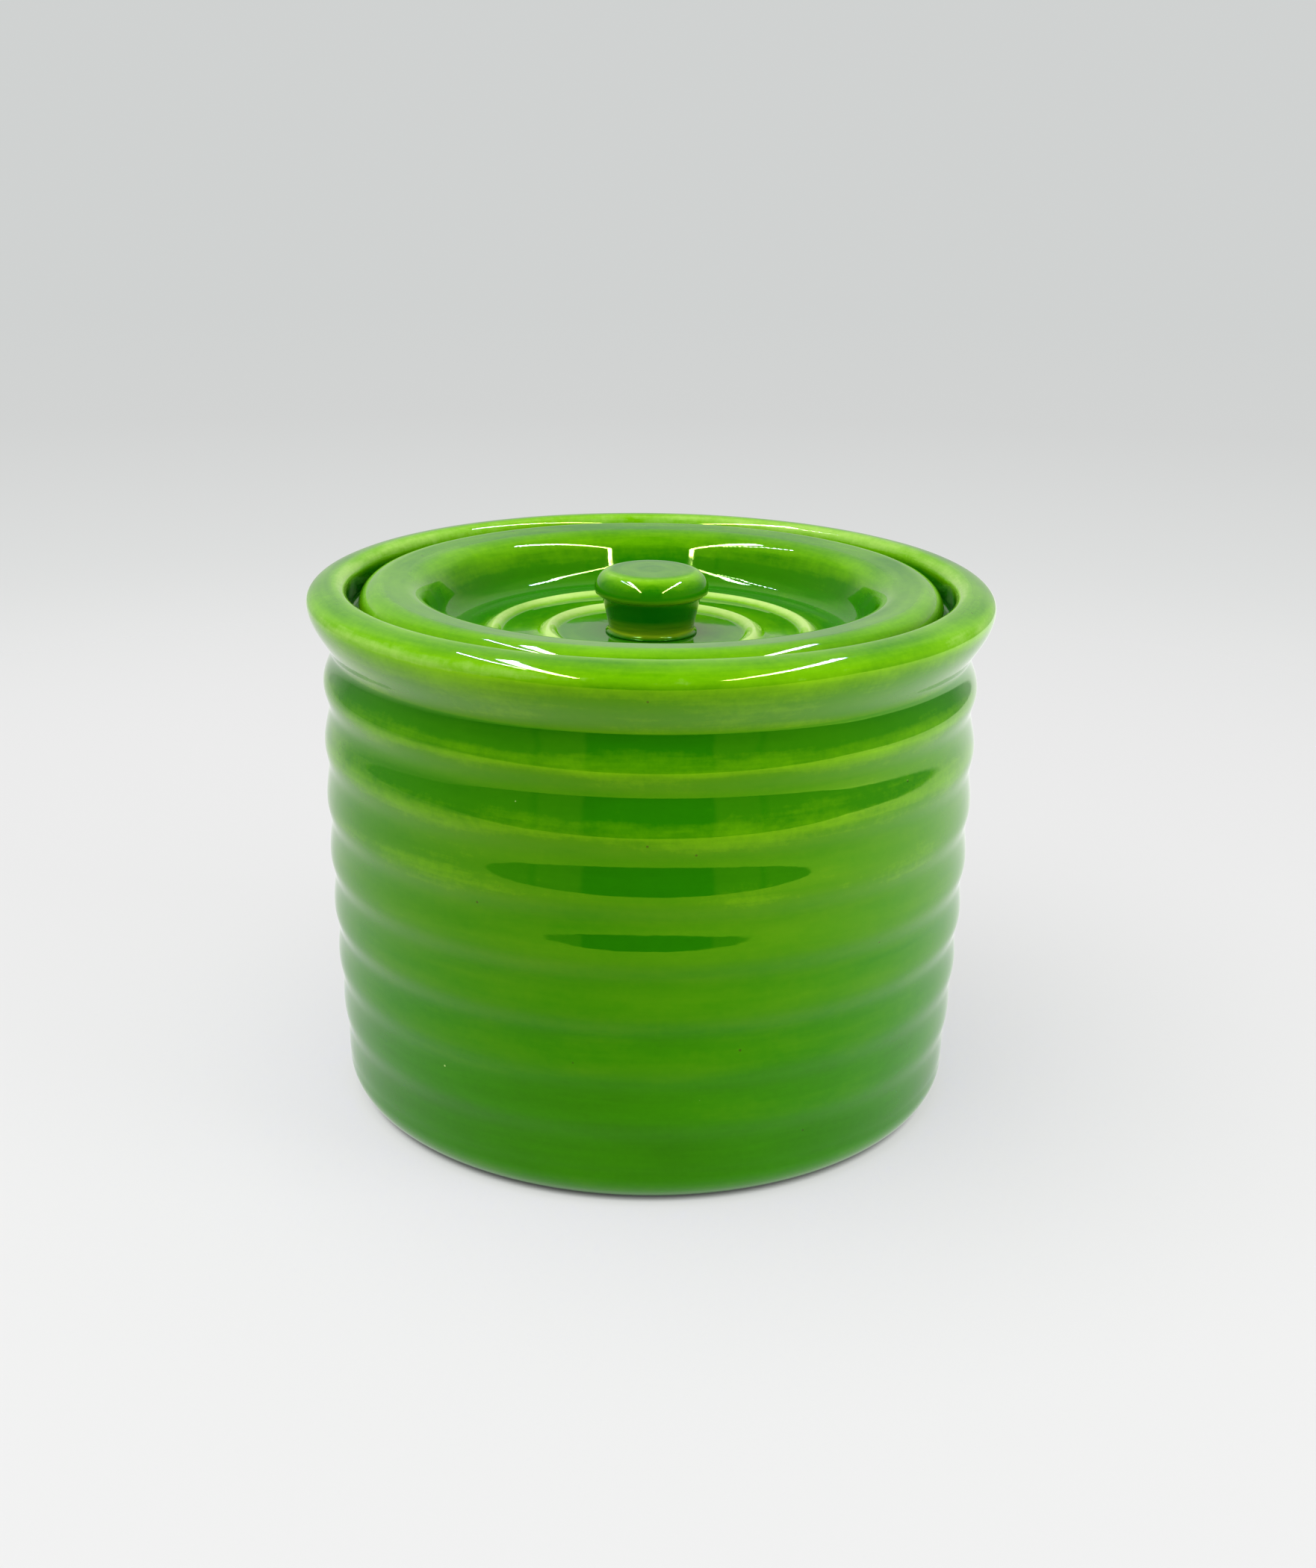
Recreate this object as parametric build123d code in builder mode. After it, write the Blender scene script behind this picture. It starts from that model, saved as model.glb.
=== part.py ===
from build123d import *
import os

# A lidded ceramic canister: a ringed jar, a dished lid that drops into its mouth, and the knob luted on it.
# Lengths are millimetres. +Z is up, and the origin is the centre of the face that the jar stands on.

# Jar, outside
belly_radius = 72.25
belly_height = 77.5
barrel_arc_radius = 800.0
foot_band_height = 14.95
ring_count = 7
lowest_ring_pitch = 11.75
ring_pitch_growth = 0.3
top_ring_height = 12.4
groove_depth = 1.1
neck_depth = 1.6
flare_height = 10.65
rim_overhang = 2.75
rim_lip_thickness = 8.8
rim_crest_inset = 6.0
rim_roll_height = 3.8

# Jar, inside
wall_thickness = 7.0
floor_thickness = 8.0
ledge_depth = 7.8
ledge_width = 7.7

# Lid
lid_clearance = 2.25
dish_clearance = 3.8
lid_flange_thickness = 7.8
dish_depth = 12.4
lid_floor_thickness = 6.0

# Knob
knob_foot_radius = 10.2
knob_cap_radius = 12.7
knob_stem_height = 8.3
knob_cap_height = 5.8

# Share of the full depth that each groove has, from the foot band up: the rings fade towards the foot.
groove_shares = [0.32, 0.36] + [0.62] * (ring_count - 3) + [1]


def groove_height(number):
    """Level of a groove. Groove 0 tops the foot band, and each ring is a little taller than the last."""
    growth = ring_pitch_growth * number * (number - 1) / 2
    return foot_band_height + number * lowest_ring_pitch + growth


# Levels and radii that more than one piece follows
groove_heights = [groove_height(number) for number in range(ring_count)]
neck_height = groove_heights[-1] + top_ring_height
rim_edge_height = neck_height + flare_height
rim_height = rim_edge_height + rim_roll_height
rim_radius = belly_radius + rim_overhang
mouth_radius = rim_radius - rim_lip_thickness
throat_radius = mouth_radius - ledge_width
ledge_height = rim_height - ledge_depth
dish_floor_height = ledge_height + lid_flange_thickness - dish_depth

os.makedirs("parts", exist_ok=True)


def crest_radius(height):
    """Radius of the ring crests at a height: the body bows out a little, like a barrel."""
    return belly_radius - (height - belly_height) ** 2 / (2 * barrel_arc_radius)


def groove_point(number):
    """Bottom of a groove in the half section."""
    height = groove_heights[number]
    return (crest_radius(height) - groove_shares[number] * groove_depth, height)


def crest_point(number):
    """Crest of the ring above a groove, below the ring's middle, so that the ring slopes gently on top."""
    ring_ends = groove_heights + [neck_height]
    height = ring_ends[number] + crest_share * (ring_ends[number + 1] - ring_ends[number])
    return (crest_radius(height), height)


# Jar: one shell with soft rings outside, a flared rim that rolls over, and an inner ledge for the lid.
foot_corner_radius = 6.9
foot_ring_width = 5.0
foot_recess = 1.8
floor_corner_rounding = 10.0
shelf_thickness = 7.0
shelf_taper_height = 9.0
shelf_corner_rounding = 3.0
throat_edge_rounding = 1.0
mouth_corner_rounding = 1.5
crest_share = 0.4
flare_foot_share = 0.2
flare_edge_share = 0.42

foot_band_radius = crest_radius(foot_band_height / 2)
foot_outer_radius = foot_band_radius - foot_corner_radius
foot_inner_radius = foot_outer_radius - foot_ring_width
inner_radius = belly_radius - groove_depth - wall_thickness
shelf_bottom_height = ledge_height - shelf_thickness
neck_radius = crest_radius(neck_height) - neck_depth
rim_crest_radius = rim_radius - rim_crest_inset
rim_inner_rounding = rim_crest_radius - mouth_radius
ring_points = [point(number) for number in range(ring_count) for point in (groove_point, crest_point)]
wall_points = [(foot_band_radius, foot_corner_radius)] + ring_points + [(neck_radius, neck_height)]

with BuildPart() as jar:
    with BuildSketch(Plane.XZ):
        with BuildLine():
            Polyline(
                (0, floor_thickness),
                (0, foot_recess),
                (foot_inner_radius, foot_recess),
                (foot_inner_radius, 0),
                (foot_outer_radius, 0),
            )
            TangentArc(
                (foot_outer_radius, 0),
                (foot_band_radius, foot_corner_radius),
                tangent=(1, 0),
            )
            for low, high in zip(wall_points, wall_points[1:]):
                middle = ((low[0] + high[0]) / 2, (low[1] + high[1]) / 2)
                TangentArc(low, middle, tangent=(0, 1))
                TangentArc(high, middle, tangent=(0, -1))
            Bezier(
                (neck_radius, neck_height),
                (neck_radius, neck_height + flare_foot_share * flare_height),
                (rim_radius, rim_edge_height - flare_edge_share * flare_height),
                (rim_radius, rim_edge_height),
            )
            EllipticalCenterArc(
                (rim_crest_radius, rim_edge_height),
                rim_crest_inset,
                rim_roll_height,
                arc_size=90,
            )
            TangentArc(
                (rim_crest_radius, rim_height),
                (mouth_radius, rim_height - rim_inner_rounding),
                tangent=(-1, 0),
            )
            FilletPolyline(
                (mouth_radius, rim_height - rim_inner_rounding),
                (mouth_radius, ledge_height),
                (throat_radius, ledge_height),
                (throat_radius, shelf_bottom_height),
                (inner_radius, shelf_bottom_height - shelf_taper_height),
                (inner_radius, floor_thickness),
                (0, floor_thickness),
                radius=[
                    mouth_corner_rounding,
                    throat_edge_rounding,
                    shelf_corner_rounding,
                    shelf_corner_rounding,
                    floor_corner_rounding,
                ],
            )
        make_face()
    revolve(axis=Axis.Z)
jar.part.label = "jar"
export_step(jar.part, "parts/jar.step")


# Lid: a flat lip that rests on the ledge, falling into a dish whose floor carries two raised rings.
lip_fall = 1.1
lip_edge_rounding = 5.0
lip_underside_rounding = 1.0
dish_wall_run = 4.4
dish_wall_setback = 4.1
dish_shoulder_rounding = 6.0
dish_cove_rounding = 6.0
dish_base_rounding = 6.0
dish_root_rounding = 2.0
raised_ring_width = 4.8
raised_ring_rise = 1.15
outer_ring_share = 0.76
inner_ring_share = 0.505

lid_radius = mouth_radius - lid_clearance
lip_height = ledge_height + lid_flange_thickness
dish_under_radius = throat_radius - dish_clearance
dish_top_radius = dish_under_radius - dish_wall_setback
dish_foot_radius = dish_top_radius - dish_wall_run
lid_under_height = dish_floor_height - lid_floor_thickness
outer_ring_radius = outer_ring_share * dish_foot_radius
inner_ring_radius = knob_foot_radius + inner_ring_share * (outer_ring_radius - knob_foot_radius)
raised_ring_half = raised_ring_width / 2
raised_ring_height = dish_floor_height + raised_ring_rise

with BuildPart() as lid:
    with BuildSketch(Plane.XZ):
        with BuildLine():
            FilletPolyline(
                (0, lid_under_height),
                (dish_under_radius - dish_wall_run, lid_under_height),
                (dish_under_radius, ledge_height),
                (lid_radius, ledge_height),
                (lid_radius, lip_height),
                (dish_top_radius, lip_height - lip_fall),
                (dish_foot_radius, dish_floor_height),
                (outer_ring_radius + raised_ring_half, dish_floor_height),
                radius=[
                    dish_base_rounding,
                    dish_root_rounding,
                    lip_underside_rounding,
                    lip_edge_rounding,
                    dish_shoulder_rounding,
                    dish_cove_rounding,
                ],
            )
            for ring_radius in (outer_ring_radius, inner_ring_radius):
                ThreePointArc(
                    (ring_radius + raised_ring_half, dish_floor_height),
                    (ring_radius, raised_ring_height),
                    (ring_radius - raised_ring_half, dish_floor_height),
                )
            Line(
                (outer_ring_radius - raised_ring_half, dish_floor_height),
                (inner_ring_radius + raised_ring_half, dish_floor_height),
            )
            Polyline(
                (inner_ring_radius - raised_ring_half, dish_floor_height),
                (0, dish_floor_height),
                (0, lid_under_height),
            )
        make_face()
    revolve(axis=Axis.Z)
lid.part.label = "lid"
export_step(lid.part, "parts/lid.step")


# Knob: a solid mushroom on a stem that widens upwards, luted onto the dish floor by a soft bead at its foot.
knob_bead_height = 0.4
stem_foot_height = 1.0
stem_foot_inset = 0.8
cap_overhang = 1.7
cap_shoulder_inset = 4.7
cap_widest_share = 0.24
cap_side_share = 0.55
cap_shoulder_share = 0.6

stem_foot_radius = knob_foot_radius - stem_foot_inset
knob_stem_radius = knob_cap_radius - cap_overhang
knob_stem_top = dish_floor_height + knob_stem_height
cap_top = knob_stem_top + knob_cap_height
cap_widest_height = knob_stem_top + cap_widest_share * knob_cap_height
cap_shoulder_radius = knob_cap_radius - cap_shoulder_inset

with BuildPart() as lid_knob:
    with BuildSketch(Plane.XZ):
        with BuildLine():
            Polyline(
                (cap_shoulder_radius, cap_top),
                (0, cap_top),
                (0, dish_floor_height),
                (knob_foot_radius, dish_floor_height),
                (knob_foot_radius, dish_floor_height + knob_bead_height),
                (stem_foot_radius, dish_floor_height + stem_foot_height),
                (knob_stem_radius, knob_stem_top),
            )
            TangentArc(
                (knob_cap_radius, cap_widest_height),
                (knob_stem_radius, knob_stem_top),
                tangent=(0, -1),
            )
            Bezier(
                (knob_cap_radius, cap_widest_height),
                (knob_cap_radius, cap_widest_height + cap_side_share * (cap_top - cap_widest_height)),
                (cap_shoulder_radius + cap_shoulder_share * cap_shoulder_inset, cap_top),
                (cap_shoulder_radius, cap_top),
            )
        make_face()
    revolve(axis=Axis.Z)
lid_knob.part.label = "lid_knob"
export_step(lid_knob.part, "parts/lid_knob.step")
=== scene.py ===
import math

import bpy
import numpy as np
from mathutils import Matrix, Vector


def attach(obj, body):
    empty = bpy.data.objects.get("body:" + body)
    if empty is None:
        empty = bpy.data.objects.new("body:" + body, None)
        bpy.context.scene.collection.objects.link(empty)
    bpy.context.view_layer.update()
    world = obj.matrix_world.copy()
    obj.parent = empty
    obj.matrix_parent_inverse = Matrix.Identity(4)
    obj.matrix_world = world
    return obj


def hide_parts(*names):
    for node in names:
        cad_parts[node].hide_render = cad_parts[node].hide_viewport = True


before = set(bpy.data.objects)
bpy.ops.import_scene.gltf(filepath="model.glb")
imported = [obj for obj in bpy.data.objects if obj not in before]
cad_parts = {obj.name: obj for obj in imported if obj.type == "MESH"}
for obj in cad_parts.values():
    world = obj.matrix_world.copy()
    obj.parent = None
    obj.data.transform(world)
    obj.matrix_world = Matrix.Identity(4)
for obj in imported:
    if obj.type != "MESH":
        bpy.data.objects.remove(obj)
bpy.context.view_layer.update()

# Jar: one shell of pale clay under a green glaze that is fired glossy.
# Seven soft rings go round its slightly barrelled wall, the rim flares out and rolls over, and a
# ledge inside the mouth carries the lid. The foot ring is wiped clean before firing, so it is bare.
belly_radius = 0.07225
belly_height = 0.0775
barrel_arc_radius = 0.800
foot_band_height = 0.01495
ring_count = 7
lowest_ring_pitch = 0.01175
ring_pitch_growth = 0.0003
top_ring_height = 0.0124
groove_depth = 0.0011
groove_shares = [0.32, 0.36, 0.62, 0.62, 0.62, 0.62, 1.0]
crest_share = 0.4
neck_depth = 0.0016
flare_height = 0.01065
flare_foot_share = 0.20
flare_edge_share = 0.42
rim_radius = 0.0750
rim_lip_thickness = 0.0088
rim_crest_inset = 0.0060
rim_roll_height = 0.0038
foot_corner_radius = 0.0069
foot_ring_width = 0.0050
foot_recess = 0.0018
recess_corner_rounding = 0.0008
foot_edge_rounding = 0.0005
inner_radius = 0.06415
floor_thickness = 0.0080
floor_corner_rounding = 0.0100
ledge_depth = 0.0078
ledge_width = 0.0077
mouth_corner_rounding = 0.0015
throat_edge_rounding = 0.0010
shelf_thickness = 0.0070
shelf_taper_height = 0.0090
shelf_corner_rounding = 0.0030


def groove_height(number):
    """Level of a groove, counted up from the foot band. The rings grow a little taller upwards."""
    growth = ring_pitch_growth * number * (number - 1) / 2
    return foot_band_height + number * lowest_ring_pitch + growth


neck_height = groove_height(ring_count - 1) + top_ring_height
rim_edge_height = neck_height + flare_height
rim_height = rim_edge_height + rim_roll_height
rim_crest_radius = rim_radius - rim_crest_inset
mouth_radius = rim_radius - rim_lip_thickness
mouth_rounding = rim_crest_radius - mouth_radius
throat_radius = mouth_radius - ledge_width
ledge_height = rim_height - ledge_depth
shelf_bottom_height = ledge_height - shelf_thickness


def crest_radius(height):
    """Radius of the ring crests: the wall bows out a little, like a barrel."""
    return belly_radius - (height - belly_height) ** 2 / (2 * barrel_arc_radius)


def arc(centre, radius, start, end, steps):
    """Points along a circle between two angles in degrees, both ends included."""
    angles = np.radians(np.linspace(start, end, steps + 1))
    return [(centre[0] + radius * math.cos(a), centre[1] + radius * math.sin(a)) for a in angles]


def rounded(corners, roundings, steps=12):
    """A path through corners, with an arc of the given radius in place of each inner corner."""
    corners = [np.array(corner, float) for corner in corners]
    path = [tuple(corners[0])]
    for before, corner, after, radius in zip(corners, corners[1:], corners[2:], roundings):
        to_before = (before - corner) / np.linalg.norm(before - corner)
        to_after = (after - corner) / np.linalg.norm(after - corner)
        half = math.acos(float(np.clip(to_before @ to_after, -1, 1))) / 2
        inward = (to_before + to_after) / np.linalg.norm(to_before + to_after)
        centre = corner + inward * radius / math.sin(half)
        start = corner + to_before * radius / math.tan(half) - centre
        end = corner + to_after * radius / math.tan(half) - centre
        for share in np.linspace(0, 1, steps + 1):
            swing = start * (1 - share) + end * share
            path.append(tuple(centre + swing * radius / np.linalg.norm(swing)))
    path.append(tuple(corners[-1]))
    return path


def bezier(points, steps):
    """Points along a cubic curve, its first point left out."""
    a, b, c, d = (np.array(point, float) for point in points)
    path = []
    for far in np.linspace(0, 1, steps + 1)[1:]:
        near = 1 - far
        path.append(tuple(a * near**3 + 3 * b * far * near**2 + 3 * c * far**2 * near + d * far**3))
    return path


def lengths_along(points):
    """How far along an outline each of its points lies."""
    return np.concatenate([[0], np.cumsum(np.linalg.norm(np.diff(points, axis=0), axis=1))])


def glaze_thinness(outline, on_edges, in_creases):
    """How thin the glaze stands at each point of an outline: over 0 on edges, under 0 in creases.
    Molten glaze runs off what stands proud of its neighbours and gathers in what lies deep."""
    reach = 0.0022
    full_share = 0.4
    points = np.array(outline)
    run = lengths_along(points)
    before, after = (
        np.stack([np.interp(run + side, run, points[:, axis]) for axis in (0, 1)], 1)
        for side in (-reach, reach)
    )
    chord = after - before
    chord_length = np.linalg.norm(chord, axis=1, keepdims=True) + 1e-12
    outward = np.stack([chord[:, 1], -chord[:, 0]], 1) / chord_length
    proud = np.sum((points - (before + after) / 2) * outward, axis=1)
    proud = np.clip(proud / (full_share * reach), -1, 1)
    return proud * np.where(proud > 0, on_edges, in_creases)


def section(name, outline, thin, ringed=0.0, bare=0.0, uneven=0.0, broken=0.0):
    """A half section as a wire in the XZ plane.
    Each of its points carries the values that the trees and the glaze read."""
    mesh = bpy.data.meshes.new(name)
    edges = [(i, i + 1) for i in range(len(outline) - 1)]
    mesh.from_pydata([(radius, 0, height) for radius, height in outline], edges, [])
    marks = {
        "run": lengths_along(np.array(outline)),
        "ringed": ringed,
        "bare": bare,
        "uneven": uneven,
        "broken": broken,
        "thin": thin,
    }
    for label, values in marks.items():
        layer = mesh.attributes.new(label, "FLOAT", "POINT")
        layer.data.foreach_set("value", np.full(len(outline), values, float))
    piece = bpy.data.objects.new(name, mesh)
    bpy.context.collection.objects.link(piece)
    return piece


def add(tree, kind, inputs=None, **settings):
    """Add a node with its settings, and fill its inputs with values or other nodes' outputs."""
    node = tree.nodes.new(kind)
    for label, value in settings.items():
        setattr(node, label, value)
    for key, value in (inputs or {}).items():
        if isinstance(value, bpy.types.NodeSocket):
            tree.links.new(value, node.inputs[key])
        else:
            node.inputs[key].default_value = value
    return node


def calc(tree, operation, *values):
    """One step of arithmetic in a tree."""
    return add(tree, "ShaderNodeMath", dict(enumerate(values)), operation=operation).outputs[0]


def remap(tree, value, start, end, low=0.0, high=1.0, smooth=False):
    """A value carried from one range into another, and held past both ends."""
    inputs = {"Value": value, 1: start, 2: end, 3: low, 4: high}
    kind = "SMOOTHSTEP" if smooth else "LINEAR"
    return add(tree, "ShaderNodeMapRange", inputs, interpolation_type=kind).outputs[0]


def noise(tree, place, scale, detail, roughness=0.5):
    """Soft random shades from 0 to 1 that stay in their place."""
    inputs = {"Vector": place, "Scale": scale, "Detail": detail, "Roughness": roughness}
    return add(tree, "ShaderNodeTexNoise", inputs).outputs[0]


def named(tree, label):
    """A value that each point of the piece carries."""
    inputs = {"Name": label}
    return add(tree, "GeometryNodeInputNamedAttribute", inputs, data_type="FLOAT").outputs[0]


def shape_tree(title, sizes):
    """An empty geometry tree with a named input for each size."""
    tree = bpy.data.node_groups.new(title, "GeometryNodeTree")
    tree.interface.new_socket("Geometry", in_out="INPUT", socket_type="NodeSocketGeometry")
    for label, kind in sizes.items():
        tree.interface.new_socket(label, in_out="INPUT", socket_type="NodeSocket" + kind)
    tree.interface.new_socket("Geometry", in_out="OUTPUT", socket_type="NodeSocketGeometry")
    return tree, tree.nodes.new("NodeGroupInput").outputs, tree.nodes.new("NodeGroupOutput").inputs


def shape_by(piece, tree, values):
    """Give a piece a geometry tree with these sizes."""
    modifier = piece.modifiers.new(tree.name, "NODES")
    modifier.node_group = tree
    for socket in tree.interface.items_tree:
        if socket.in_out == "INPUT" and socket.name in values:
            modifier[socket.identifier] = values[socket.name]


def settle(piece):
    """Turn what a piece's trees make into its plain mesh."""
    graph = bpy.context.evaluated_depsgraph_get()
    mesh = bpy.data.meshes.new_from_object(
        piece.evaluated_get(graph), preserve_all_data_layers=True, depsgraph=graph
    )
    piece.modifiers.clear()
    piece.data = mesh


# The ringed wall: the rings swing softly between crests and grooves, and each ring is a little
# taller than the one below. The number of rings climbed follows from the height.
ring_tree, size, result = shape_tree(
    "Ringed wall",
    {
        "Foot Band Height": "Float",
        "Lowest Pitch": "Float",
        "Pitch Growth": "Float",
        "Crest Share": "Float",
        "Groove Depth": "Float",
    },
)
spot = add(ring_tree, "GeometryNodeInputPosition").outputs[0]
height = add(ring_tree, "ShaderNodeSeparateXYZ", {0: spot}).outputs["Z"]
climbed = calc(ring_tree, "SUBTRACT", height, size["Foot Band Height"])
first_pitch = calc(ring_tree, "MULTIPLY_ADD", size["Pitch Growth"], -0.5, size["Lowest Pitch"])
squared = calc(
    ring_tree,
    "MULTIPLY_ADD",
    calc(ring_tree, "MULTIPLY", size["Pitch Growth"], 2.0),
    climbed,
    calc(ring_tree, "MULTIPLY", first_pitch, first_pitch),
)
ring_number = calc(
    ring_tree,
    "DIVIDE",
    calc(ring_tree, "SUBTRACT", calc(ring_tree, "SQRT", squared), first_pitch),
    size["Pitch Growth"],
)
over_groove = calc(ring_tree, "FRACT", ring_number)
over_crest = calc(ring_tree, "SUBTRACT", over_groove, size["Crest Share"])
below_crest = calc(ring_tree, "MULTIPLY", size["Crest Share"], -1.0)
above_crest = calc(ring_tree, "SUBTRACT", 1.0, size["Crest Share"])
off_crest = calc(
    ring_tree,
    "MAXIMUM",
    calc(ring_tree, "DIVIDE", over_crest, below_crest),
    calc(ring_tree, "DIVIDE", over_crest, above_crest),
)
swing = remap(ring_tree, off_crest, 0.0, 1.0, smooth=True)
swing = calc(ring_tree, "MULTIPLY", swing, named(ring_tree, "ringed"))
fall = calc(ring_tree, "MULTIPLY", calc(ring_tree, "MULTIPLY", swing, size["Groove Depth"]), -1.0)
ringed = add(
    ring_tree,
    "GeometryNodeSetPosition",
    {
        "Geometry": size["Geometry"],
        "Offset": add(ring_tree, "ShaderNodeCombineXYZ", {0: fall}).outputs[0],
    },
).outputs[0]
# Glaze runs a little thinner over the crests and gathers in the grooves. The paler crests and
# darker grooves are also painted shading of the rings: a painted highlight on the crests and
# painted shade in the grooves.
crest_thinning_and_highlight = 0.10
groove_gathering_and_shade = 0.26
ring_thin_and_shade = calc(ring_tree, "MULTIPLY", named(ring_tree, "ringed"), crest_thinning_and_highlight)
ring_thin_and_shade = calc(ring_tree, "MULTIPLY_ADD", swing, -groove_gathering_and_shade, ring_thin_and_shade)
ring_thin_and_shade = calc(ring_tree, "ADD", ring_thin_and_shade, named(ring_tree, "thin"))
glazed = add(
    ring_tree,
    "GeometryNodeStoreNamedAttribute",
    {"Geometry": ringed, "Name": "thin", "Value": ring_thin_and_shade},
    data_type="FLOAT",
    domain="POINT",
).outputs[0]
ring_tree.links.new(glazed, result["Geometry"])

# Every piece is turned: its section goes once round the upright axis, with the slight waver of a
# worked surface. The waver only sinks in, so that no piece grows past its size.
seam_tolerance = 1e-6
turn_tree, size, result = shape_tree(
    "Turned form",
    {
        "Turn Steps": "Int",
        "Core Radius": "Float",
        "Waver": "Float",
        "Waver Size": "Float",
        "Glaze": "Material",
        "Bare Clay": "Material",
    },
)
spot = add(turn_tree, "GeometryNodeInputPosition").outputs[0]
parts = add(turn_tree, "ShaderNodeSeparateXYZ", {0: spot}).outputs
from_core = calc(turn_tree, "SUBTRACT", parts["X"], size["Core Radius"])
downward = calc(turn_tree, "MULTIPLY", parts["Z"], -1.0)
laid_flat = add(turn_tree, "ShaderNodeCombineXYZ", {0: from_core, 1: downward}).outputs[0]
flat = add(
    turn_tree,
    "GeometryNodeSetPosition",
    {"Geometry": size["Geometry"], "Position": laid_flat},
).outputs[0]
profile = add(turn_tree, "GeometryNodeMeshToCurve", {0: flat}).outputs[0]
core = add(
    turn_tree,
    "GeometryNodeCurvePrimitiveCircle",
    {"Resolution": size["Turn Steps"], "Radius": size["Core Radius"]},
).outputs[0]
upright = add(turn_tree, "GeometryNodeSetCurveNormal", {0: core}, mode="Z_UP").outputs[0]
turned = add(
    turn_tree,
    "GeometryNodeCurveToMesh",
    {"Curve": upright, "Profile Curve": profile},
).outputs[0]
outward = add(turn_tree, "GeometryNodeFlipFaces", {"Mesh": turned}).outputs[0]
closed = add(
    turn_tree,
    "GeometryNodeMergeByDistance",
    {"Geometry": outward, "Distance": seam_tolerance},
).outputs[0]
spot = add(turn_tree, "GeometryNodeInputPosition").outputs[0]
wander_scale = calc(turn_tree, "DIVIDE", 1.0, size["Waver Size"])
wander = noise(turn_tree, spot, wander_scale, detail=1.0)
waver = calc(
    turn_tree,
    "MULTIPLY",
    calc(turn_tree, "MULTIPLY", size["Waver"], named(turn_tree, "uneven")),
    calc(turn_tree, "SUBTRACT", wander, 1.0),
)
push = add(
    turn_tree,
    "ShaderNodeVectorMath",
    {0: add(turn_tree, "GeometryNodeInputNormal").outputs[0], "Scale": waver},
    operation="SCALE",
).outputs[0]
wavered = add(turn_tree, "GeometryNodeSetPosition", {"Geometry": closed, "Offset": push}).outputs[0]
smooth = add(turn_tree, "GeometryNodeSetShadeSmooth", {"Geometry": wavered}).outputs[0]
real = add(turn_tree, "GeometryNodeRealizeInstances", {"Geometry": smooth}).outputs[0]
glazed = add(
    turn_tree,
    "GeometryNodeSetMaterial",
    {"Geometry": real, "Material": size["Glaze"]},
).outputs[0]
wiped = calc(turn_tree, "GREATER_THAN", named(turn_tree, "bare"), 0.5)
finished = add(
    turn_tree,
    "GeometryNodeSetMaterial",
    {"Geometry": glazed, "Selection": wiped, "Material": size["Bare Clay"]},
).outputs[0]
turn_tree.links.new(finished, result["Geometry"])


def ramp(tree, factor, stops):
    """A colour for each depth of a value, blended in between."""
    node = add(tree, "ShaderNodeValToRGB", {"Fac": factor})
    elements = node.color_ramp.elements
    while len(elements) < len(stops):
        elements.new(1.0)
    for element, (place, colour) in zip(elements, stops):
        element.position = place
        element.color = (*colour, 1)
    return node.outputs[0]


def specks(tree, place, scale, radius, rarity):
    """Small round marks scattered over a surface: 1 inside a mark and 0 elsewhere."""
    cells = add(tree, "ShaderNodeTexVoronoi", {"Vector": place, "Scale": scale}).outputs
    drawn = add(tree, "ShaderNodeSeparateColor", {0: cells["Color"]}).outputs[0]
    inside = remap(tree, cells["Distance"], radius, radius / 2)
    return calc(tree, "MULTIPLY", inside, calc(tree, "GREATER_THAN", drawn, rarity))


def blend(tree, share, below, above):
    """One colour over another."""
    inputs = {0: share, 6: below, 7: (*above, 1)}
    return add(tree, "ShaderNodeMix", inputs, data_type="RGBA").outputs[2]


pooled_green = (0.002, 0.090, 0.001)
deep_green = (0.014, 0.160, 0.0005)
grass_green = (0.018, 0.195, 0.0005)
bright_green = (0.145, 0.430, 0.001)
lime_edge = (0.490, 0.730, 0.190)
broken_brown = (0.36, 0.44, 0.01)
pinhole_dark = (0.012, 0.040, 0.004)
speck_pale = (0.42, 0.62, 0.20)
thick_sheen = (0.30, 0.90, 0.01)
thin_sheen = (0.78, 1.0, 0.03)


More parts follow.
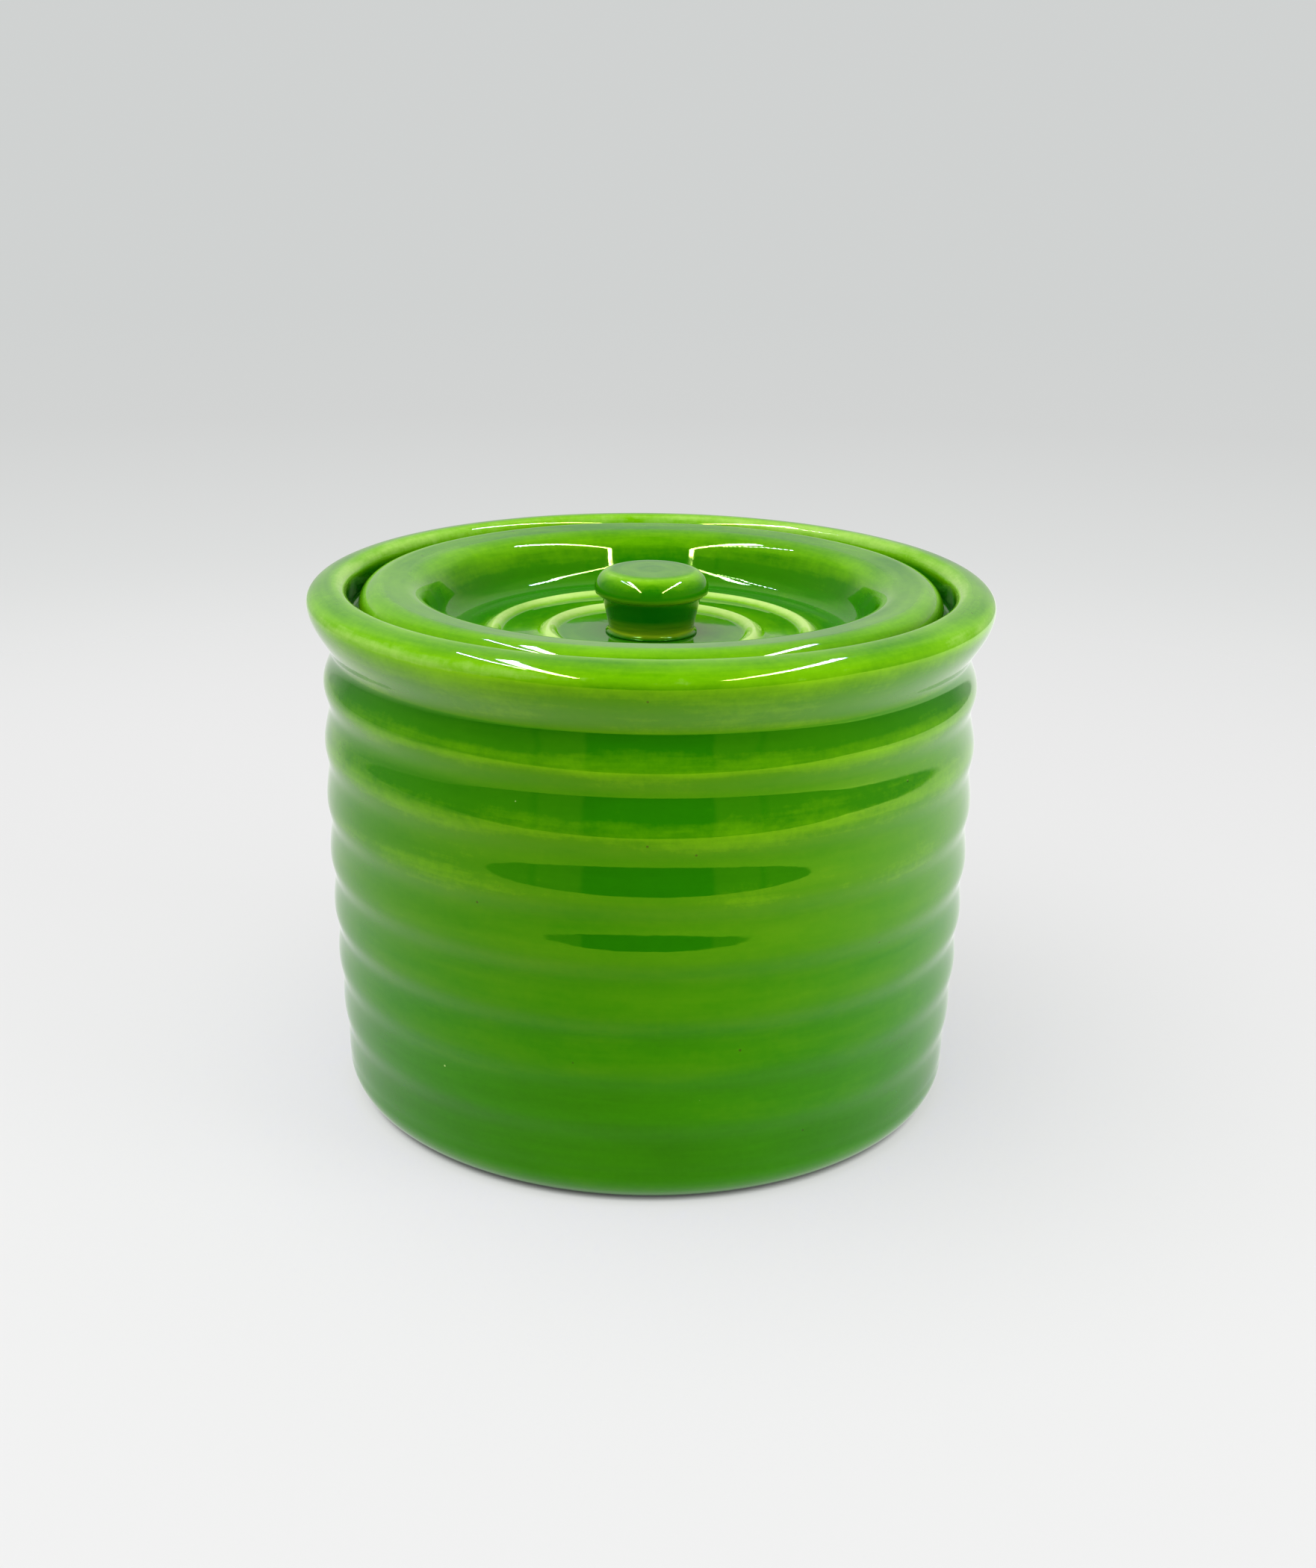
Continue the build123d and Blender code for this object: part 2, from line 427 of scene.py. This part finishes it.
def green_glaze(name):
    """Glossy glaze whose colour follows its thickness: dark where it gathers, yellow-green where it
    runs thin. The same value also carries painted shade and painted highlights on the jar and knob.
    Where it breaks over the knob's edges the clay shows through in brown."""
    material = bpy.data.materials.new(name)
    material.use_nodes = True
    tree = material.node_tree
    shader = tree.nodes["Principled BSDF"]
    place = add(tree, "ShaderNodeTexCoord").outputs["Object"]
    thin, run, broken = (
        add(tree, "ShaderNodeAttribute", attribute_name=label).outputs["Fac"]
        for label in ("thin", "run", "broken")
    )
    x, y, z = add(tree, "ShaderNodeSeparateXYZ", {0: place}).outputs

    def drawn_out(around, along):
        """A place in which marks are drawn out round the piece, as turning leaves them."""
        scales = ((x, around), (y, around), (run, along))
        scaled = [calc(tree, "MULTIPLY", value, scale) for value, scale in scales]
        return add(tree, "ShaderNodeCombineXYZ", dict(enumerate(scaled))).outputs[0]

    blotch_place = drawn_out(around=30.0, along=75.0)
    blotch = noise(tree, blotch_place, scale=1.0, detail=4.0, roughness=0.6)
    streak_place = drawn_out(around=26.0, along=420.0)
    streak = noise(tree, streak_place, scale=1.0, detail=4.0, roughness=0.65)
    fleck = noise(tree, place, scale=620.0, detail=3.0, roughness=0.7)
    # From 0, where it stands thickest or carries painted shade, to 1 over a bare edge or a painted
    # highlight
    depth = calc(tree, "MULTIPLY_ADD", thin, 0.5, 0.5)
    for shade, weight in ((blotch, 0.42), (streak, 0.22), (fleck, 0.12)):
        depth = calc(tree, "MULTIPLY_ADD", calc(tree, "SUBTRACT", shade, 0.5), weight, depth)
    colour = ramp(
        tree,
        depth,
        (
            (0.0, pooled_green),
            (0.3, deep_green),
            (0.5, grass_green),
            (0.75, bright_green),
            (1.0, lime_edge),
        ),
    )
    patchy = remap(tree, streak, 0.35, 0.62)
    colour = blend(tree, calc(tree, "MULTIPLY", broken, patchy), colour, broken_brown)
    pinholes = specks(tree, place, scale=210.0, radius=0.075, rarity=0.88)
    colour = blend(tree, pinholes, colour, pinhole_dark)
    beside = add(tree, "ShaderNodeVectorMath", {0: place, 1: (0.31, 0.17, 0.23)}).outputs[0]
    pale_specks = specks(tree, beside, scale=190.0, radius=0.050, rarity=0.985)
    colour = blend(tree, pale_specks, colour, speck_pale)
    tree.links.new(colour, shader.inputs["Base Color"])
    grain = noise(tree, place, scale=260.0, detail=3.0)
    gloss = remap(tree, grain, 0.3, 0.7, low=0.022, high=0.055)
    tree.links.new(gloss, shader.inputs["Roughness"])
    ripple = noise(tree, place, scale=150.0, detail=2.0)
    pits = calc(tree, "MULTIPLY_ADD", pinholes, -0.6, ripple)
    relief = {"Height": pits, "Strength": 0.25, "Distance": 0.0001}
    tree.links.new(add(tree, "ShaderNodeBump", relief).outputs[0], shader.inputs["Normal"])
    shader.inputs["IOR"].default_value = 1.9
    sheen = ramp(tree, depth, ((0.25, thick_sheen), (0.55, thin_sheen)))
    tree.links.new(sheen, shader.inputs["Specular Tint"])
    return material


jar_glaze = green_glaze("jar_glaze")

bare_clay = bpy.data.materials.new("bare_clay")
bare_clay.use_nodes = True
tree = bare_clay.node_tree
shader = tree.nodes["Principled BSDF"]
place = add(tree, "ShaderNodeTexCoord").outputs["Object"]
grit = noise(tree, place, scale=900.0, detail=3.0)
clay_colour = ramp(tree, grit, ((0.3, (0.42, 0.33, 0.22)), (0.7, (0.62, 0.53, 0.40))))
tree.links.new(clay_colour, shader.inputs["Base Color"])
shader.inputs["Roughness"].default_value = 0.85

foot_band_radius = crest_radius(foot_band_height / 2)
foot_outer_radius = foot_band_radius - foot_corner_radius
foot_inner_radius = foot_outer_radius - foot_ring_width
neck_radius = crest_radius(neck_height) - neck_depth
points_per_ring = 24

underside = rounded(
    (
        (0, foot_recess),
        (foot_inner_radius, foot_recess),
        (foot_inner_radius, 0),
        (foot_outer_radius, 0),
    ),
    (recess_corner_rounding, foot_edge_rounding),
    steps=4,
)[:-1]
underside.insert(1, (foot_inner_radius / 2, foot_recess))
foot = arc((foot_outer_radius, foot_corner_radius), foot_corner_radius, -90, 0, 14)
top_crest = ring_count - 1 + crest_share
ring_numbers = np.linspace(crest_share - 1, top_crest, ring_count * points_per_ring + 1)
wall = [(crest_radius(groove_height(number)), groove_height(number)) for number in ring_numbers]
grooves = [min(int(number + 1 - crest_share), ring_count - 1) for number in ring_numbers]
crest_point = np.array(wall[-1])
to_neck = np.array((neck_radius, neck_height)) - crest_point
shoulder = [
    tuple(crest_point + to_neck * (share * share * (3 - 2 * share), share))
    for share in np.linspace(0, 1, 17)[1:]
]
flare = bezier(
    (
        (neck_radius, neck_height),
        (neck_radius, neck_height + flare_foot_share * flare_height),
        (rim_radius, rim_edge_height - flare_edge_share * flare_height),
        (rim_radius, rim_edge_height),
    ),
    24,
)
lip = [
    (
        rim_crest_radius + rim_crest_inset * math.cos(angle),
        rim_edge_height + rim_roll_height * math.sin(angle),
    )
    for angle in np.radians(np.linspace(0, 90, 19)[1:])
]
lip += arc((rim_crest_radius, rim_height - mouth_rounding), mouth_rounding, 90, 180, 12)[1:]
inside = rounded(
    (
        (mouth_radius, rim_height - mouth_rounding),
        (mouth_radius, ledge_height),
        (throat_radius, ledge_height),
        (throat_radius, shelf_bottom_height),
        (inner_radius, shelf_bottom_height - shelf_taper_height),
        (inner_radius, floor_thickness),
        (0, floor_thickness),
    ),
    (
        mouth_corner_rounding,
        throat_edge_rounding,
        shelf_corner_rounding,
        shelf_corner_rounding,
        floor_corner_rounding,
    ),
    steps=8,
)[1:]
outline = underside + foot + wall + shoulder + flare + lip + inside
heights = np.array(outline)[:, 1]
wall_start = len(underside + foot)
wall_end = wall_start + len(wall)
flare_start = wall_end + len(shoulder)
flare_end = flare_start + len(flare)
outside_end = len(outline) - len(inside)

# Under the rim the glaze thins only near the edge. Inside the jar the glaze is set to its darkest
# green all over: thick glaze, and painted shade in the mouth and the gap round the lid.
# Outside, the glaze is painted darker towards the foot: painted shade where less light reaches the
# lower wall.
foot_shade_levels = (0.005, 0.075)
foot_shade_depths = (-0.75, 0.0)
bare_height = 0.0003
thin = glaze_thinness(outline, on_edges=0.64, in_creases=0.5)
thin[flare_start:flare_end] *= np.linspace(0, 1, len(flare)) ** 4
# Painted shade: the whole inside takes the darkest, pooled green.
thin[outside_end:] = -1
# Painted shade: darker green lower down the outside wall.
thin[:outside_end] += np.interp(heights[:outside_end], foot_shade_levels, foot_shade_depths)
ringed = np.zeros(len(outline))
ringed[wall_start:wall_end] = [groove_shares[groove] for groove in grooves]
uneven = np.zeros(len(outline))
uneven[wall_start:outside_end] = 1
jar = section(
    "glazed_jar",
    outline,
    thin,
    ringed=ringed,
    bare=heights < bare_height,
    uneven=uneven,
)
shape_by(
    jar,
    ring_tree,
    {
        "Foot Band Height": foot_band_height,
        "Lowest Pitch": lowest_ring_pitch,
        "Pitch Growth": ring_pitch_growth,
        "Crest Share": crest_share,
        "Groove Depth": groove_depth,
    },
)
turning = {
    "Turn Steps": 256,
    "Core Radius": 0.010,
    "Waver": 0.00012,
    "Waver Size": 0.030,
    "Glaze": jar_glaze,
    "Bare Clay": bare_clay,
}
shape_by(jar, turn_tree, turning)
settle(jar)
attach(jar, "jar")
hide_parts("jar")

# Lid: a dished disc of the same clay and glaze, turned with two raised rings round the middle of
# the dish. Its flat lip drops inside the rim and rests on the ledge, with a gap all round so that
# it lifts out freely.
lid_clearance = 0.00225
lid_flange_thickness = 0.0078
lip_fall = 0.0011
lip_edge_rounding = 0.0050
lip_underside_rounding = 0.0010
dish_clearance = 0.0038
dish_wall_setback = 0.0041
dish_wall_run = 0.0044
dish_depth = 0.0124
dish_shoulder_rounding = 0.0060
dish_cove_rounding = 0.0060
dish_base_rounding = 0.0060
dish_root_rounding = 0.0020
lid_floor_thickness = 0.0060
raised_ring_radii = (0.03511, 0.02278)
raised_ring_half = 0.0024
raised_ring_rise = 0.00115
outer_ring_margin = 0.0040
inner_ring_margin = 0.0030
dish_floor_radii = (0.0150, 0.0110, 0.0050, 0)

lid_radius = mouth_radius - lid_clearance
lip_height = ledge_height + lid_flange_thickness
dish_under_radius = throat_radius - dish_clearance
dish_top_radius = dish_under_radius - dish_wall_setback
dish_foot_radius = dish_top_radius - dish_wall_run
dish_floor_height = lip_height - dish_depth
lid_under_height = dish_floor_height - lid_floor_thickness

outline = rounded(
    (
        (0, lid_under_height),
        (dish_under_radius - dish_wall_run, lid_under_height),
        (dish_under_radius, ledge_height),
        (lid_radius, ledge_height),
        (lid_radius, lip_height),
        (dish_top_radius, lip_height - lip_fall),
        (dish_foot_radius, dish_floor_height),
        (raised_ring_radii[0] + outer_ring_margin, dish_floor_height),
    ),
    (
        dish_base_rounding,
        dish_root_rounding,
        lip_underside_rounding,
        lip_edge_rounding,
        dish_shoulder_rounding,
        dish_cove_rounding,
    ),
    steps=16,
)
for ring_radius in raised_ring_radii:
    for share in np.linspace(-1, 1, 21):
        rise = raised_ring_rise * (1 + math.cos(math.pi * share)) / 2
        outline.append((ring_radius - raised_ring_half * share, dish_floor_height + rise))
    outline.append((ring_radius - inner_ring_margin, dish_floor_height))
outline += [(radius, dish_floor_height) for radius in dish_floor_radii]
radii, heights = np.array(outline).T

# The glaze runs thinnest over the raised rings. The seat under the lip stays true, without waver.
thin_band_half = 0.0020
thin_band_peak = 1.25
seat_margin = 0.0005
thin = glaze_thinness(outline, on_edges=0.60, in_creases=0.2)
for ring_radius in raised_ring_radii:
    band = thin_band_peak * np.exp(-(((radii - ring_radius) / thin_band_half) ** 2))
    band = np.minimum(band, 1)
    thin = thin * (1 - band) + band
lid = section(
    "glazed_lid",
    outline,
    thin,
    uneven=(heights > ledge_height + seat_margin) | (radii < dish_foot_radius),
)
shape_by(lid, turn_tree, {**turning, "Waver": 0.0001})
settle(lid)
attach(lid, "lid")
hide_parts("lid")

# Knob: a small solid mushroom of the same clay and glaze, pressed on its own.
# It is luted to the dish floor with slip, which leaves a soft bead round its foot.
knob_foot_radius = 0.0102
knob_bead_height = 0.0004
knob_bead_roundings = (0.00015, 0.0003, 0.0006)
stem_foot_radius = 0.0094
stem_foot_height = 0.0010
knob_stem_radius = 0.0110
knob_stem_height = 0.0083
knob_cap_radius = 0.0127
knob_cap_height = 0.0058
cap_shoulder_inset = 0.0047
cap_widest_share = 0.24
cap_side_share = 0.55
cap_shoulder_share = 0.6
cap_top_radii = (0.0052, 0.0026, 0)

knob_stem_top = dish_floor_height + knob_stem_height
knob_top = knob_stem_top + knob_cap_height
cap_widest_height = knob_stem_top + cap_widest_share * knob_cap_height
cap_shoulder_radius = knob_cap_radius - cap_shoulder_inset
cap_overhang = knob_cap_radius - knob_stem_radius

stem = rounded(
    (
        (0, dish_floor_height),
        (knob_foot_radius, dish_floor_height),
        (knob_foot_radius, dish_floor_height + knob_bead_height),
        (stem_foot_radius, dish_floor_height + stem_foot_height),
        (knob_stem_radius, knob_stem_top),
    ),
    knob_bead_roundings,
    steps=6,
)[:-1]
stem_start = np.array(stem.pop())
stem_end = np.array((knob_stem_radius, knob_stem_top))
stem += [
    tuple(stem_start * (1 - share) + stem_end * share)
    for share in np.linspace(0, 1, 15)[:-1]
]
under_rise = cap_widest_height - knob_stem_top
under_radius = (cap_overhang**2 + under_rise**2) / (2 * cap_overhang)
under_sweep = 2 * math.degrees(math.atan2(cap_overhang, under_rise))
under_centre = (knob_cap_radius - under_radius, cap_widest_height)
under_cap = arc(under_centre, under_radius, -under_sweep, 0, 12)
over_cap = bezier(
    (
        (knob_cap_radius, cap_widest_height),
        (knob_cap_radius, cap_widest_height + cap_side_share * (knob_top - cap_widest_height)),
        (cap_shoulder_radius + cap_shoulder_share * cap_shoulder_inset, knob_top),
        (cap_shoulder_radius, knob_top),
    ),
    20,
)
outline = stem + under_cap + over_cap + [(radius, knob_top) for radius in cap_top_radii]
levels = np.array(outline)[:, 1] - dish_floor_height

# How thin the glaze stands, and how far it breaks to the clay, at levels above the dish floor.
# These levels also hold painted shade on the stem and under the cap, and a painted highlight in a
# pale band along the cap's shoulder.
thin_shade_and_highlight_levels = (
    (0, -0.9),
    (0.0010, -0.3),
    # Thick glaze with painted shade: the stem is set dark under the cap's overhang, and the cap's
    # underside a little dark
    (0.0020, -0.8),
    (0.0074, -0.9),
    (0.0084, -0.3),
    (0.0097, -0.2),
    (0.0127, 0.16),
    # Painted highlight: a pale band just under the cap's flat top
    (0.0138, 0.55),
    (0.0141, 0.1),
)
broken_levels = (
    (0.0006, 0),
    (0.0011, 0.85),
    (0.0018, 0.5),
    (0.0042, 0),
    (0.0078, 0),
    (0.0084, 0.3),
    (0.0090, 0.3),
    (0.0100, 0),
)
knob = section(
    "glazed_knob",
    outline,
    thin=np.interp(levels, *zip(*thin_shade_and_highlight_levels)),
    uneven=1.0,
    broken=np.interp(levels, *zip(*broken_levels)),
)
shape_by(knob, turn_tree, {**turning, "Turn Steps": 128, "Waver": 0.0002, "Waver Size": 0.012})
settle(knob)
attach(knob, "lid")
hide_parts("lid_knob")

# Setting: a plain pale floor that fades into a pale surround, with rows of bead lamps overhead at
# the left and right and soft lamps above and at both sides. The floor ends in front of the jar, and
# the room past it is dark where the glaze mirrors it.
floor_radius = 0.95
floor_front = -0.32
floor_glow = 0.53
floor_grey = (0.25, 0.25, 0.25, 1)
white = (1, 1, 1, 1)
bpy.ops.mesh.primitive_circle_add(vertices=96, radius=floor_radius, fill_type="NGON")
floor = bpy.context.object
floor.name = "floor"
floor_paint = bpy.data.materials.new("floor_paint")
floor_paint.use_nodes = True
tree = floor_paint.node_tree
tree.nodes.remove(tree.nodes["Principled BSDF"])
place = add(tree, "ShaderNodeTexCoord").outputs["Object"]
x, y, z = add(tree, "ShaderNodeSeparateXYZ", {0: place}).outputs
reach = add(tree, "ShaderNodeVectorMath", {0: place}, operation="LENGTH").outputs["Value"]
mirrored = add(tree, "ShaderNodeLightPath").outputs["Is Glossy Ray"]
# Seen straight, the floor melts into the surround. In the glaze it reaches further, but it stops
# short in front and fades at the left. From below it is clear, so that the foot shows.
seen_end = remap(tree, reach, 0.30, 0.60, smooth=True)
far_end = remap(tree, reach, 0.70, 0.90, smooth=True)
left_end = remap(tree, x, -0.20, -0.60, high=0.7)
front_end = calc(tree, "LESS_THAN", y, floor_front)
mirrored_end = calc(tree, "MAXIMUM", calc(tree, "MAXIMUM", far_end, left_end), front_end)
ended = add(tree, "ShaderNodeMix", {0: mirrored, 2: seen_end, 3: mirrored_end}).outputs[0]
below = add(tree, "ShaderNodeNewGeometry").outputs["Backfacing"]
gone = calc(tree, "MAXIMUM", ended, below)
# The floor is dim close under the jar, and in the glaze it is brighter towards the right.
open_sky = add(tree, "ShaderNodeAmbientOcclusion", {"Distance": 0.002}, samples=8).outputs["AO"]
open_sky = remap(tree, open_sky, 0.10, 0.52)
mirrored_glow = remap(tree, x, 0.0, 0.30, low=0.12, high=0.44)
strength = calc(tree, "MULTIPLY_ADD", mirrored, mirrored_glow, floor_glow)
strength = calc(tree, "MULTIPLY", strength, open_sky)
glow = add(tree, "ShaderNodeEmission", {"Color": white, "Strength": strength}).outputs[0]
matt = add(tree, "ShaderNodeBsdfDiffuse", {"Color": floor_grey}).outputs[0]
paint = add(tree, "ShaderNodeAddShader", {0: matt, 1: glow}).outputs[0]
clear = add(tree, "ShaderNodeBsdfTransparent").outputs[0]
mix = add(tree, "ShaderNodeMixShader", {0: gone, 1: paint, 2: clear}).outputs[0]
tree.links.new(mix, tree.nodes["Material Output"].inputs["Surface"])
floor.data.materials.append(floor_paint)

# The surround as it is seen, from the floor's far edge up
backdrop_shades = (
    (0.0, (0.80, 0.81, 0.805)),
    (0.25, (0.77, 0.78, 0.775)),
    (0.75, (0.645, 0.655, 0.65)),
    (1.0, (0.63, 0.645, 0.64)),
)
# The room that the glaze mirrors, from straight in front round to straight behind
room_shades = (
    (0.0, 0.0),
    (0.118, 0.0),
    (0.126, 0.26),
    (0.205, 0.26),
    (0.212, 0.10),
    (0.226, 0.26),
    (0.70, 0.26),
    (0.78, 0.58),
    (1.0, 0.58),
)
overhead_glow = 0.42
fill_light = 0.49
world = bpy.data.worlds.new("surround")
bpy.context.scene.world = world
world.use_nodes = True
tree = world.node_tree
tree.nodes.remove(tree.nodes["Background"])
direction = add(tree, "ShaderNodeTexCoord").outputs["Generated"]
x, y, z = add(tree, "ShaderNodeSeparateXYZ", {0: direction}).outputs
seen = ramp(tree, remap(tree, z, -0.30, -0.10), backdrop_shades)
forward = calc(tree, "MULTIPLY", y, -1.0)
from_front = calc(tree, "ARCTAN2", calc(tree, "ABSOLUTE", x), forward)
room = ramp(
    tree,
    calc(tree, "DIVIDE", from_front, math.pi),
    [(share, (shade, shade, shade)) for share, shade in room_shades],
)
overhead = remap(tree, z, 0.50, 0.72, high=overhead_glow, smooth=True)
beside = remap(tree, from_front, 0.75, 1.15, smooth=True)
glow = calc(tree, "MAXIMUM", room, calc(tree, "MULTIPLY", overhead, beside))
rays = add(tree, "ShaderNodeLightPath").outputs
lit = add(tree, "ShaderNodeMix", {0: rays["Is Glossy Ray"], 2: fill_light, 3: glow}).outputs[0]
around = add(tree, "ShaderNodeBackground", {"Color": white, "Strength": lit}).outputs[0]
backdrop = add(tree, "ShaderNodeBackground", {"Color": seen, "Strength": 1.0}).outputs[0]
seen_straight = rays["Is Camera Ray"]
mix = add(tree, "ShaderNodeMixShader", {0: seen_straight, 1: around, 2: backdrop}).outputs[0]
tree.links.new(mix, tree.nodes["World Output"].inputs["Surface"])

bead_pitch = 0.022
bead_colour = (0.14, 0.13, 1.0, 1)
bead_strength = 600.0
gap_strength = 16.0
strip_light = bpy.data.materials.new("strip_light")
strip_light.use_nodes = True
tree = strip_light.node_tree
tree.nodes.remove(tree.nodes["Principled BSDF"])
place = add(tree, "ShaderNodeTexCoord").outputs["Object"]
x, y, z = add(tree, "ShaderNodeSeparateXYZ", {0: place}).outputs
along = calc(tree, "FRACT", calc(tree, "DIVIDE", y, bead_pitch))
off_bead = calc(tree, "ABSOLUTE", calc(tree, "SUBTRACT", along, 0.5))
bead = remap(tree, off_bead, 0.32, 0.18, gap_strength, bead_strength, smooth=True)
# The beads show in the glaze itself, and not in a mirror of a mirror.
mirrors = add(tree, "ShaderNodeLightPath").outputs["Glossy Depth"]
strength = calc(tree, "MULTIPLY", bead, calc(tree, "LESS_THAN", mirrors, 1.5))
beam = add(tree, "ShaderNodeEmission", {"Color": bead_colour, "Strength": strength}).outputs[0]
tree.links.new(beam, tree.nodes["Material Output"].inputs["Surface"])


def strip_lamp(name, place, turn, width, length):
    """A row of bright beads overhead, seen only where the glaze mirrors it."""
    mesh = bpy.data.meshes.new(name)
    right, far = width / 2, length / 2
    corners = [(-right, -far, 0), (-right, far, 0), (right, far, 0), (right, -far, 0)]
    mesh.from_pydata(corners, [], [(0, 1, 2, 3)])
    mesh.materials.append(strip_light)
    strip = bpy.data.objects.new(name, mesh)
    strip.matrix_world = Matrix.Translation(place) @ Matrix.Rotation(math.radians(turn), 4, "Z")
    strip.visible_camera = strip.visible_diffuse = strip.visible_shadow = False
    strip.visible_transmission = strip.visible_volume_scatter = False
    bpy.context.collection.objects.link(strip)


strip_lamp("strip_left", (-0.172, -0.185, 0.45), turn=-6.5, width=0.022, length=0.57)
strip_lamp("strip_far_left", (-0.19, 0.01, 0.45), turn=0.0, width=0.005, length=0.30)
strip_lamp("strip_right", (0.205, -0.18, 0.45), turn=3.0, width=0.020, length=0.64)


def soft_lamp(name, place, aim, side, power):
    """A broad square lamp turned towards a point, and not mirrored in the glaze."""
    lamp = bpy.data.objects.new(name, bpy.data.lights.new(name, "AREA"))
    lamp.data.size = side
    lamp.data.energy = power
    lamp.location = place
    lamp.rotation_euler = (Vector(aim) - Vector(place)).to_track_quat("-Z", "Y").to_euler()
    lamp.visible_camera = lamp.visible_glossy = False
    bpy.context.collection.objects.link(lamp)


soft_lamp("soft_top", (-0.25, -0.15, 0.92), aim=(0, 0, 0), side=1.0, power=9.2)
soft_lamp("soft_right", (0.70, -0.30, 0.22), aim=(0, 0, 0.06), side=0.42, power=3.6)
soft_lamp("soft_left", (-0.62, -0.42, 0.34), aim=(0, 0, 0.06), side=0.6, power=1.0)

# Camera: in front of the jar and above its rim, at the photograph's height and distance.
# It is turned, tilted and rolled as it was there.
camera = bpy.data.objects.new("camera", bpy.data.cameras.new("camera"))
camera.data.sensor_fit = "VERTICAL"
camera.data.sensor_height = 36
camera.data.lens = 46.40
turn, tilt, roll = (math.radians(angle) for angle in (-0.2664, 71.049, 0.8153))
camera.matrix_world = (
    Matrix.Translation((0, -0.4340, 0.21754))
    @ Matrix.Rotation(turn, 4, "Z")
    @ Matrix.Rotation(tilt, 4, "X")
    @ Matrix.Rotation(roll, 4, "Z")
)
bpy.context.collection.objects.link(camera)
bpy.context.scene.camera = camera
bpy.context.scene.view_settings.view_transform = "Standard"
